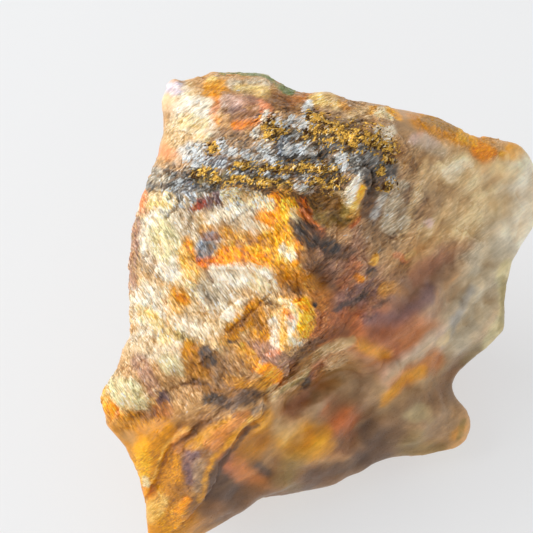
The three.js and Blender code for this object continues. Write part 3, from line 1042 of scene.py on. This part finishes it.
def hull_faces(corners):
    """The triangles of the icosahedron whose corners these are, wound outwards."""
    reach = np.linalg.norm(corners[:, None] - corners[None], axis=2)
    edge = np.sort(reach[0])[1] * 1.1
    faces = []
    for a, b, c in itertools.combinations(range(12), 3):
        if max(reach[a, b], reach[b, c], reach[a, c]) < edge:
            normal = np.cross(corners[b] - corners[a], corners[c] - corners[a])
            faces.append((a, b, c) if normal @ corners[a] > 0 else (a, c, b))
    return np.array(faces)


def along_fibres(outward, direction, spread, random):
    """For each normal, axes whose first lies on the skin, roughly along a direction."""
    first = direction + random.normal(scale=spread, size=outward.shape)
    first -= (first * outward).sum(axis=1)[:, None] * outward
    first /= np.linalg.norm(first, axis=1)[:, None]
    second = np.cross(outward, first)
    return np.stack([first, second, outward], axis=2)


class Skin:
    """The skin's faces, from which the places of grains are drawn."""

    def __init__(self, mesh, front):
        mesh.calc_loop_triangles()
        self.corners = read(mesh.loop_triangles, "vertices", 3, np.int32)
        self.points = places(mesh)
        self.tint = read(mesh.attributes["tint"].data, "color", 4)[:, :3]
        self.finish = read(mesh.attributes["finish"].data, "color", 4)[:, :3]
        a, b, c = (self.points[self.corners[:, k]] for k in range(3))
        self.area = np.linalg.norm(np.cross(b - a, c - a), axis=1) / 2
        self.place = in_picture((a + b + c) / 3)
        self.outward = self.on_faces(normals(mesh))
        self.outward /= np.linalg.norm(self.outward, axis=1)[:, None]
        self.front = self.on_faces(front)

    def on_faces(self, values):
        """A value of each vertex, as the mean over each face."""
        return values[self.corners].mean(axis=1)

    def drawn(self, density, count, random):
        """Points drawn from faces in proportion to a density: faces and places on them."""
        weight = density * self.area
        chosen = random.choice(len(weight), count, p=weight / weight.sum())
        share = random.dirichlet((1, 1, 1), count)[:, :, None]
        return chosen, (self.points[self.corners[chosen]] * share).sum(axis=1)


def grain_mesh(name, seats, turns, sizes, colours, finish, random):
    """One mesh of many lumps, each with its own place, turn, three half sizes and colour."""
    shapes = [crumb(random) for _ in range(12)]
    faces = hull_faces(np.array(shapes[0]) / np.linalg.norm(shapes[0], axis=1)[:, None])
    shape = np.array(shapes)[random.integers(len(shapes), size=len(seats))]
    corners = np.einsum("nij,nkj->nki", turns, shape * sizes[:, None, :]) + seats[:, None, :]
    mesh = bpy.data.meshes.new(name)
    starts = np.arange(len(seats))[:, None, None] * 12
    triangles = (faces[None] + starts).reshape(-1, 3).tolist()
    mesh.from_pydata((corners.reshape(-1, 3) * MM).tolist(), [], triangles)
    set_colours(mesh, "tint", np.repeat(colours, 12, axis=0))
    set_colours(mesh, "finish", np.repeat(finish, 12, axis=0))
    return mesh


def gold_grains(skin, gold):
    """Hackly grains that crowd the rows of native gold and thin out around them."""
    random = np.random.default_rng(7)
    count = GOLD_GRAINS
    lines = [(1.9 * width, 1.0, line) for width, line in GOLD_ROWS]
    halo = skin.front * line_mask(skin.place, lines, 0.0)
    face, seat = skin.drawn(skin.on_faces(gold) ** 1.5 + 0.03 * halo, count, random)
    outward = skin.outward[face]
    radius = 0.038 + 0.065 * random.random(count) ** 1.5
    sizes = radius[:, None] * (2.6, 1.0, 0.9) * random.uniform(0.7, 1.3, (count, 3))
    seats = seat + outward * (radius * random.uniform(-0.2, 0.9, count))[:, None]
    dark, bright, glint = map(linear, GOLD_COLOURS)
    clump = fractal(seat, 0.45, 591) + 0.35 * (random.random(count) - 0.5)
    colours = dark + (bright - dark) * ramp(clump, 0.32, 0.60)[:, None]
    colours[random.random(count) < 0.06] = glint
    finish = np.tile((1.0, 1.0, 1.0), (count, 1))
    turns = along_fibres(outward, STREAK_UP, 0.35, random)
    return grain_mesh("gold_grains", seats, turns, sizes, colours, finish, random)


def fibre_grains(name, skin, density, count, size, stretch, shades, whites, seed):
    """Sugary grains drawn out along the stone's fibres, coloured as the skin that they sit on; a
    share of the pale ones are ice-white, as white crystal and painted glints.
    """
    random = np.random.default_rng(seed)
    face, seat = skin.drawn(density, count, random)
    outward = skin.outward[face]
    corner = skin.corners[face, 0]
    finish = skin.finish[corner]
    downward = along_fibres(outward, STREAK_DOWN, 0.2, random)
    upward = along_fibres(outward, STREAK_UP, 0.2, random)
    turns = np.where((finish[:, 1] > 0.5)[:, None, None], upward, downward)
    radius = size * random.uniform(0.6, 1.5, count)
    sizes = radius[:, None] * (stretch, 1.0, 0.8) * random.uniform(0.75, 1.25, (count, 3))
    seats = seat + outward * (radius * random.uniform(-0.45, 0.15, count))[:, None]
    shade = shades[0] + (shades[1] - shades[0]) * random.random((count, 1)) ** 1.6
    colours = np.clip(skin.tint[corner] * shade, 0, 0.92)
    pale = ramp(skin.tint[corner, 2], 0.06, 0.28)
    # Ice-white grains: painted glints among the plateau's sugar, and white crystal with painted
    # glints in the band.
    white = random.random(count) < whites
    colours += (linear(MINERALS["ice"]) * 1.1 - colours) * (pale * white * 0.8)[:, None]
    finish = finish * (0.8, 1.0, 0.0)
    return grain_mesh(name, seats, turns, sizes, colours, finish, random)


# ---- materials ----


class Tree:
    """Short calls that add nodes to a material and return the socket that they make."""

    def __init__(self, name):
        self.material = bpy.data.materials.new(name)
        self.material.use_nodes = True
        self.tree = self.material.node_tree
        self.tree.nodes.clear()

    def feed(self, socket, value):
        """Joins a socket to another one, or gives it a plain value."""
        if isinstance(value, bpy.types.NodeSocket):
            self.tree.links.new(value, socket)
        elif socket.type == "RGBA" and len(value) == 3:
            socket.default_value = (*value, 1.0)
        else:
            socket.default_value = value

    def node(self, kind, inputs, output=0, **settings):
        made = self.tree.nodes.new(kind)
        for name, value in settings.items():
            setattr(made, name, value)
        for key, value in inputs.items():
            self.feed(made.inputs[key], value)
        return made.outputs[output]

    def plus(self, a, b):
        return self.node("ShaderNodeMath", {0: a, 1: b}, operation="ADD")

    def times(self, a, b):
        return self.node("ShaderNodeMath", {0: a, 1: b}, operation="MULTIPLY")

    def vector(self, operation, a, b, output="Vector"):
        return self.node("ShaderNodeVectorMath", {0: a, 1: b}, output, operation=operation)

    def step(self, value, low, high, least=0.0, most=1.0):
        """`least` below `low`, `most` above `high`, and smooth between."""
        inputs = {"Value": value, "From Min": low, "From Max": high, "To Min": least, "To Max": most}
        return self.node("ShaderNodeMapRange", inputs, interpolation_type="SMOOTHSTEP")

    def blend(self, share, a, b, kind="MIX"):
        """A mix of two colours, `share` of the way from a to b."""
        inputs = {0: share, 6: a, 7: b}
        return self.node("ShaderNodeMix", inputs, 2, data_type="RGBA", blend_type=kind)

    def mean(self, share, a, b):
        """A number `share` of the way from a to b."""
        return self.node("ShaderNodeMix", {0: share, 2: a, 3: b}, data_type="FLOAT")

    def noise(self, vector, scale, detail=2.0, roughness=0.5):
        inputs = {"Vector": vector, "Scale": scale, "Detail": detail, "Roughness": roughness}
        return self.node("ShaderNodeTexNoise", inputs, "Fac")

    def cells(self, vector, scale):
        """A steady random colour for each cell."""
        return self.node("ShaderNodeTexVoronoi", {"Vector": vector, "Scale": scale}, "Color")

    def painted(self, name, output="Color"):
        return self.node("ShaderNodeAttribute", {}, output, attribute_name=name)

    def channels(self, colour):
        """The red, green and blue of a colour."""
        parts = self.tree.nodes.new("ShaderNodeSeparateColor")
        self.feed(parts.inputs[0], colour)
        return parts.outputs

    def grey(self, level):
        return self.node("ShaderNodeCombineColor", {0: level, 1: level, 2: level})

    def millimetres(self):
        """The place on the object, in millimetres."""
        place = self.node("ShaderNodeTexCoord", {}, "Object")
        return self.vector("MULTIPLY", place, (1 / MM,) * 3)

    def fibre_places(self, place, length, width):
        """The place in fibre lengths along the fibres and widths across, down and up the stone."""
        for along in (STREAK_DOWN, STREAK_UP):
            axes = (along / length, np.cross(OUT, along) / width, OUT / (3 * width))
            dots = [self.vector("DOT_PRODUCT", place, tuple(axis), "Value") for axis in axes]
            yield self.node("ShaderNodeCombineXYZ", dict(enumerate(dots)))

    def streaks(self, place, upward, length, width):
        """Noise drawn out along the fibres, whichever way they run."""
        ways = self.fibre_places(place, length, width)
        return self.mean(upward, *[self.noise(way, 1.0, 2.0, 0.6) for way in ways])

    def crystals(self, place, upward, length, width):
        """A steady random colour for each long crystal, whichever way the fibres run."""
        ways = self.fibre_places(place, length, width)
        return self.blend(upward, *[self.cells(way, 1.0) for way in ways])

    def facets(self, normal, crystals, tilt):
        """A normal turned by up to about `tilt` for each crystal, its own way."""
        own_way = self.vector("SUBTRACT", crystals, (0.5, 0.5, 0.5))
        turn = self.node("ShaderNodeVectorMath", {0: own_way, "Scale": tilt}, operation="SCALE")
        return self.vector("NORMALIZE", self.vector("ADD", normal, turn), (0, 0, 0))

    def finished(self, looks):
        """The material, with a Principled shader that has these inputs."""
        output = self.tree.nodes.new("ShaderNodeOutputMaterial")
        self.feed(output.inputs["Surface"], self.node("ShaderNodeBsdfPrincipled", looks))
        return self.material


def stone_material():
    """Quartz in its mineral stains: fibrous and sugary where sharp, waxy and soft elsewhere."""
    t = Tree("stained_quartz")
    place = t.millimetres()
    tint = t.painted("tint")
    sharp, upward, gold = t.channels(t.painted("finish"))

    # Fibres and long crystals on the show face, even grain and sugar on the other sides.
    seen = t.painted("finish", "Alpha")
    long_streaks = t.mean(seen, t.noise(place, 1.7, 2.0, 0.6), t.streaks(place, upward, 1.5, 0.24))
    fine_streaks = t.mean(seen, t.noise(place, 4.0, 2.0, 0.6), t.streaks(place, upward, 0.85, 0.11))
    crystals = t.blend(seen, t.cells(place, 2.6), t.crystals(place, upward, 0.70, 0.20))
    crystal = t.channels(crystals)[0]
    fine = t.noise(place, 7.0, 2.0)

    # Brightness of the streaks and the crystals, strongest where the stone is sharp.
    swing = t.plus(
        t.step(long_streaks, 0.3, 0.7, -0.25, 0.26),
        t.step(fine_streaks, 0.36, 0.70, -0.24, 0.62),
    )
    swing = t.plus(swing, t.step(crystal, 0.0, 1.0, -0.16, 0.18))
    calm = t.step(long_streaks, 0.3, 0.7, -0.07, 0.07)
    lumps = t.step(t.noise(place, 0.7, 3.0), 0.3, 0.7, 0.90, 1.12)
    level = t.plus(lumps, t.mean(sharp, calm, swing))
    colour = t.blend(1.0, tint, t.grey(level), "MULTIPLY")
    warmth = t.step(t.noise(place, 0.45, 2.0), 0.35, 0.65, 0.0, 0.5)
    colour = t.blend(warmth, colour, t.blend(1.0, colour, (1.06, 0.95, 0.80), "MULTIPLY"))

    # Clear grey quartz along the long streaks.
    pale = t.step(t.channels(tint)[2], 0.05, 0.32)
    clear = t.times(t.step(long_streaks, 0.52, 0.66, 0.0, 0.40), t.times(pale, sharp))
    colour = t.blend(clear, colour, (0.62, 0.59, 0.53))

    # Bright glints: the stone's own colour, twice lightened, and white where it is pale.
    lit = t.step(t.node("ShaderNodeRGBToBW", {0: tint}), 0.12, 0.50)
    shine = t.times(t.step(fine_streaks, 0.53, 0.62), t.step(crystal, 0.25, 0.60))
    glint = t.times(shine, t.times(t.times(lit, sharp), 0.88))
    light = t.blend(1.0, colour, colour, "SCREEN")
    light = t.blend(1.0, light, colour, "SCREEN")
    colour = t.blend(glint, colour, t.blend(t.times(pale, 0.6), light, (0.97, 0.94, 0.86)))

    # Brown staining in the dark streaks, and rusty crystals here and there.
    dark = t.times(t.step(fine_streaks, 0.42, 0.30), t.step(crystal, 0.75, 0.35))
    pit = t.times(dark, t.times(sharp, 0.28))
    colour = t.blend(pit, colour, t.blend(1.0, colour, (0.50, 0.35, 0.22), "MULTIPLY"))
    fleck = t.times(t.step(crystal, 0.80, 0.86, 0.0, 0.22), sharp)
    colour = t.blend(fleck, colour, (0.60, 0.26, 0.04))
    colour = t.node("ShaderNodeHueSaturation", {"Saturation": 1.06, "Color": colour})

    # A film of gold between the grains of the rows, with dark gaps in it.
    film = t.times(gold, t.step(fine_streaks, 0.50, 0.58))
    colour = t.blend(film, colour, (0.82, 0.46, 0.10))
    gap = t.times(gold, t.step(fine_streaks, 0.46, 0.36, 0.0, 0.7))
    colour = t.blend(gap, colour, (0.07, 0.055, 0.025))

    height = t.plus(t.times(fine_streaks, sharp), t.times(fine, 0.4))
    bump = {"Strength": 0.5, "Distance": 0.14 * MM, "Height": height}
    normal = t.facets(t.node("ShaderNodeBump", bump), crystals, t.times(sharp, 0.8))
    looks = {
        "Base Color": colour,
        "Metallic": t.times(film, 0.8),
        "Roughness": t.step(fine, 0.3, 0.7, 0.26, 0.50),
        "IOR": 1.54,
        "Specular IOR Level": 0.45,
        "Subsurface Weight": 0.10,
        "Subsurface Radius": (1.0, 0.7, 0.45),
        "Subsurface Scale": 0.5 * MM,
        "Normal": normal,
    }
    return t.finished(looks)


def gold_material():
    """Native gold: warm, a little rough, with painted shade in the hollows of its bump."""
    t = Tree("native_gold")
    tint = t.painted("tint")
    fine = t.noise(t.millimetres(), 9.0, 3.0, 0.6)
    # Painted shade: darker gold where the bump's height is low.
    shaded_gold = t.blend(1.0, tint, (0.56, 0.46, 0.28), "MULTIPLY")
    bump = {"Strength": 0.5, "Distance": 0.05 * MM, "Height": fine}
    looks = {
        "Base Color": t.blend(t.step(fine, 0.35, 0.60), shaded_gold, tint),
        "Metallic": 0.6,
        "Roughness": t.step(fine, 0.3, 0.7, 0.26, 0.5),
        "Normal": t.node("ShaderNodeBump", bump),
    }
    return t.finished(looks)


def floor_material():
    """A matt pale floor with an even glow, so that the stone's shadow stays faint."""
    t = Tree("pale_floor")
    mottle = t.noise(t.millimetres(), 0.02, 2.0)
    looks = {
        "Base Color": t.blend(mottle, (0.29, 0.295, 0.30), (0.31, 0.315, 0.32)),
        "Roughness": 0.9,
        "Emission Color": (0.985, 0.99, 1.0),
        "Emission Strength": 0.53,
    }
    return t.finished(looks)


# ---- floor, lights and camera ----


def add_floor(half):
    """A level floor that reaches `half` metres each way from the stone."""
    mesh = bpy.data.meshes.new("floor")
    corners = [(-half, -half, 0), (half, -half, 0), (half, half, 0), (-half, half, 0)]
    mesh.from_pydata(corners, [], [(0, 1, 2, 3)])
    mesh.materials.append(floor_material())
    new_object("floor", mesh)


def add_light(name, towards, distance, size, watts):
    """A soft square lamp, sized in metres, that shines from a direction in the face's frame."""
    light = bpy.data.lights.new(name, "AREA")
    light.size = size
    light.energy = watts
    lamp = new_object(name, light)
    u, v, w = towards
    direction = Vector(u * ACROSS + v * UP_FACE + w * OUT).normalized()
    lamp.location = Vector(FACE_ORIGIN * MM) + direction * distance
    lamp.rotation_mode = "QUATERNION"
    lamp.rotation_quaternion = direction.to_track_quat("Z", "Y")


def add_world(strength):
    """Even white light from all round."""
    world = bpy.data.worlds.new("studio")
    world.use_nodes = True
    background = world.node_tree.nodes["Background"]
    background.inputs["Color"].default_value = (1.0, 1.0, 1.0, 1.0)
    background.inputs["Strength"].default_value = strength
    bpy.context.scene.world = world


def add_camera():
    """A camera that looks squarely at the show face, as in the photograph."""
    camera = bpy.data.cameras.new("camera")
    camera.sensor_width = SENSOR
    camera.lens = SENSOR * VIEW_DISTANCE / VIEW_WIDTH
    camera.clip_start = 0.005
    eye = new_object("camera", camera)
    eye.location = (FACE_ORIGIN + OUT * VIEW_DISTANCE) * MM
    eye.rotation_mode = "QUATERNION"
    eye.rotation_quaternion = Vector(-OUT).to_track_quat("-Z", "Y")
    bpy.context.scene.camera = eye


# ---- putting it together ----


def add_piece(name, mesh, material, smooth=False):
    """A visible piece of the stone."""
    mesh.materials.clear()
    mesh.materials.append(material)
    mesh.polygons.foreach_set("use_smooth", [smooth] * len(mesh.polygons))
    piece = new_object(name, mesh)
    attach(piece, "root")
    return piece


stone_look = stone_material()
gold_look = gold_material()
skin_mesh = broken_skin(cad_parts["gold_quartz_stone"])
skin_mesh.name = "stone_skin"
gold, front = dressed_attributes(skin_mesh)
skin = Skin(skin_mesh, front)
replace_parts(add_piece("stone_skin", skin_mesh, stone_look, smooth=True), "gold_quartz_stone")

add_piece("gold_grains", gold_grains(skin, gold), gold_look)
bare = (1 - skin.on_faces(skin.finish[:, 2])) * skin.front
granular = bare * skin.on_faces(np.clip(skin.finish[:, 0], 0, 1)) ** 3
# The plateau's sugar; its ice-white share stands in as painted glints.
sugar = fibre_grains(
    "sugar_grains",
    skin,
    density=granular,
    count=SUGAR_GRAINS,
    size=0.075,
    stretch=3.4,
    shades=(0.8, 1.45),
    whites=0.08,
    seed=21,
)
add_piece("sugar_grains", sugar, stone_look)
crystal_rows = [(18, 1.0, line) for line in CRYSTAL_ROWS]
quartz = fibre_grains(
    "quartz_grains",
    skin,
    density=bare * line_mask(skin.place, crystal_rows, 0.0),
    count=QUARTZ_GRAINS,
    size=0.10,
    stretch=2.6,
    shades=(0.30, 1.8),
    whites=0.38,
    seed=31,
)
add_piece("quartz_grains", quartz, stone_look)

add_floor(half=1.5)
add_world(strength=0.61)
add_light("key", towards=(-0.9, 0.55, 0.5), distance=0.45, size=0.50, watts=2.1)
add_light("fill", towards=(0.7, -0.3, 0.8), distance=0.60, size=0.60, watts=0.15)
add_camera()
bpy.context.scene.view_settings.view_transform = "Standard"
